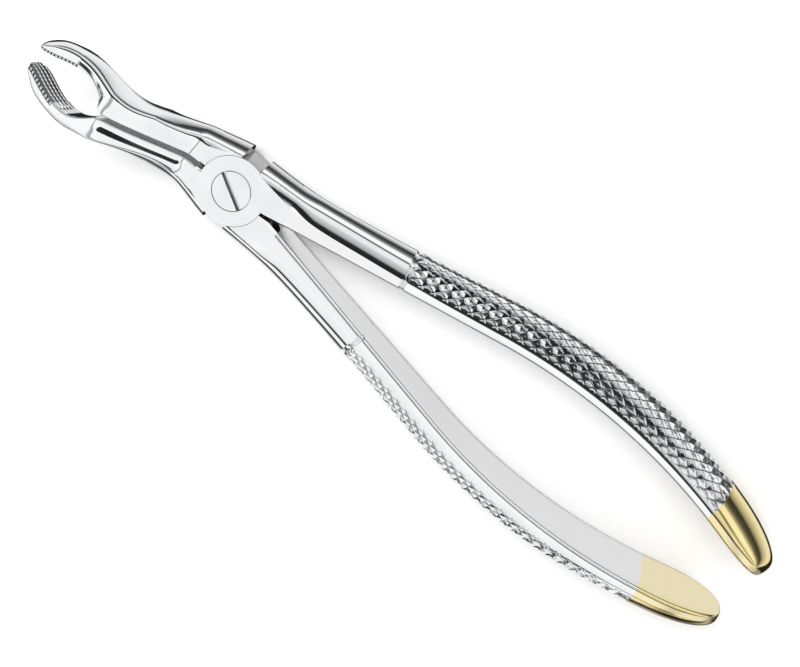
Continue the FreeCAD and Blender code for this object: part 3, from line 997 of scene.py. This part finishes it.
# What reflections see round the instrument's length: (degrees from straight up towards +Y, grey level).
# The long bright boxes and the dark gaps between them make the stripes on the polished steel
STUDIO_BANDS = [
    (-180, 0.02), (-150, 0.02), (-137, 0.45), (-129, 0.60), (-124, 0.04), (-108, 0.03), (-104, 1.10),
    (-88, 1.10), (-85, 0.04), (-78, 0.04), (-75, 1.00), (-30, 1.10), (-8, 1.20), (-3, 0.02),
    (22, 0.02), (26, 0.50), (36, 0.70), (42, 1.00), (54, 1.00), (57, 0.03), (60, 0.03), (62, 1.15),
    (76, 1.15), (82, 0.40), (92, 0.10), (110, 0.03), (120, 0.40), (132, 0.66), (150, 0.98),
    (165, 1.02), (170, 0.02),
]

# A dimmer stretch along the length: (-1 beyond the beaks to 1 beyond the handles, share of the light).
# It counts in full on the -Y side and up to GAP_FULL towards +Y, and not at all past GAP_STOP
STUDIO_GAP = [(-1.0, 1.0), (0.34, 1.0), (0.41, 0.4), (0.52, 0.4), (0.58, 1.0)]
GAP_FULL = math.radians(30.0)
GAP_STOP = math.radians(50.0)
WHITE = (1.0, 1.0, 1.0, 1.0)

# The camera's axes in the CAD frame, its place in metres, and its lens and sensor in millimetres
CAMERA_RIGHT = (0.7800, 0.5864, -0.2186)
CAMERA_DOWN = (0.6257, -0.7222, 0.2949)
CAMERA_PLACE = (0.04155, 0.11467, 0.30235)
CAMERA_LENS = 67.5
CAMERA_SENSOR = 36.0
CAMERA_NEAR = 0.01
CAMERA_FAR = 20.0


def make_floor():
    """A plain floor that the joint's back edge and the handle ends lie on."""
    rest_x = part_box("back_joint")[0].x
    end_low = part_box("back_handle_end")[0].z
    end_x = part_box("back_handle_end")[0].x
    corners = [(x * FLOOR_SIZE, y * FLOOR_SIZE, 0.0) for x, y in ((-1, -1), (1, -1), (1, 1), (-1, 1))]
    mesh = bpy.data.meshes.new("floor")
    mesh.from_pydata(corners, [], [(0, 1, 2, 3)])
    floor = bpy.data.objects.new("floor", mesh)
    bpy.context.scene.collection.objects.link(floor)
    floor.rotation_euler = (0.0, math.atan2(-end_low, end_x - rest_x), 0.0)
    floor.location = (rest_x, 0.0, -FLOOR_GAP)
    material, nodes, links, shader = new_material("floor_paper")
    shader.inputs["Roughness"].default_value = FLOOR_ROUGHNESS
    shader.inputs["Specular IOR Level"].default_value = FLOOR_SPECULAR
    grain = noise_node(nodes, links, FLOOR_GRAIN, FLOOR_DETAIL)
    tint(nodes, links, grain, *FLOOR_COLOURS, shader.inputs["Base Color"])
    mesh.materials.append(material)
    floor.visible_glossy = False


def grey_ramp(nodes, low, high, stops):
    """A ramp of grey levels whose (place, level) stops lie between low and high."""
    ramp = nodes.new("ShaderNodeValToRGB")
    elements = ramp.color_ramp.elements
    while len(elements) < len(stops):
        elements.new(0.5)
    for element, (place, level) in zip(elements, stops):
        element.position = (place - low) / (high - low)
        element.color = (level, level, level, 1.0)
    return ramp


def make_world():
    """A pale studio. Reflections see the bands in it, and everything else is lit evenly."""
    world = bpy.data.worlds.new("studio")
    bpy.context.scene.world = world
    world.use_nodes = True
    nodes = world.node_tree.nodes
    links = world.node_tree.links
    place = nodes.new("ShaderNodeTexCoord")
    split = nodes.new("ShaderNodeSeparateXYZ")
    links.new(place.outputs["Generated"], split.inputs["Vector"])
    angle = nodes.new("ShaderNodeMath")
    angle.operation = "ARCTAN2"
    links.new(split.outputs["Y"], angle.inputs[0])
    links.new(split.outputs["Z"], angle.inputs[1])
    bands = grey_ramp(nodes, -180.0, 180.0, STUDIO_BANDS)
    map_range(nodes, links, angle.outputs["Value"], (-math.pi, math.pi), bands.inputs["Fac"])
    gap = grey_ramp(nodes, -1.0, 1.0, STUDIO_GAP)
    map_range(nodes, links, split.outputs["X"], (-1.0, 1.0), gap.inputs["Fac"])
    shade = nodes.new("ShaderNodeMix")
    shade.data_type = "RGBA"
    shade.blend_type = "MULTIPLY"
    map_range(nodes, links, angle.outputs["Value"], (GAP_STOP, GAP_FULL), shade.inputs["Factor"])
    links.new(bands.outputs["Color"], shade.inputs[MIX_FIRST])
    links.new(gap.outputs["Color"], shade.inputs[MIX_SECOND])
    path = nodes.new("ShaderNodeLightPath")
    mix = nodes.new("ShaderNodeMix")
    mix.data_type = "RGBA"
    links.new(path.outputs["Is Glossy Ray"], mix.inputs["Factor"])
    mix.inputs[MIX_FIRST].default_value = WHITE
    links.new(shade.outputs[MIX_RESULT], mix.inputs[MIX_SECOND])
    links.new(mix.outputs[MIX_RESULT], nodes["Background"].inputs["Color"])
    nodes["Background"].inputs["Strength"].default_value = 1.0


def make_light(name, location, size, power):
    """A rectangular soft light that shines at the joint and doesn't show in reflections."""
    data = bpy.data.lights.new(name, "AREA")
    data.shape = "RECTANGLE"
    data.size = size[0]
    data.size_y = size[1]
    data.energy = power
    light = bpy.data.objects.new(name, data)
    light.location = location
    light.rotation_euler = (-Vector(location)).to_track_quat("-Z", "Y").to_euler()
    light.visible_glossy = False
    bpy.context.scene.collection.objects.link(light)


def make_camera():
    """Looks down on the instrument from beyond its front half's handle, with the beaks at the upper left."""
    right = Vector(CAMERA_RIGHT).normalized()
    down = Vector(CAMERA_DOWN)
    down = (down - right * down.dot(right)).normalized()
    forward = right.cross(down)
    data = bpy.data.cameras.new("camera")
    data.lens = CAMERA_LENS
    data.sensor_width = CAMERA_SENSOR
    data.clip_start = CAMERA_NEAR
    data.clip_end = CAMERA_FAR
    camera = bpy.data.objects.new("camera", data)
    matrix = Matrix((right, -down, -forward)).transposed().to_4x4()
    matrix.translation = Vector(CAMERA_PLACE)
    camera.matrix_world = matrix
    bpy.context.scene.collection.objects.link(camera)
    bpy.context.scene.camera = camera


make_floor()
make_world()
make_light("softbox", SOFTBOX_PLACE, SOFTBOX_SIZE, SOFTBOX_POWER)
make_camera()
bpy.context.scene.view_settings.view_transform = "Standard"

bpy.context.view_layer.update()
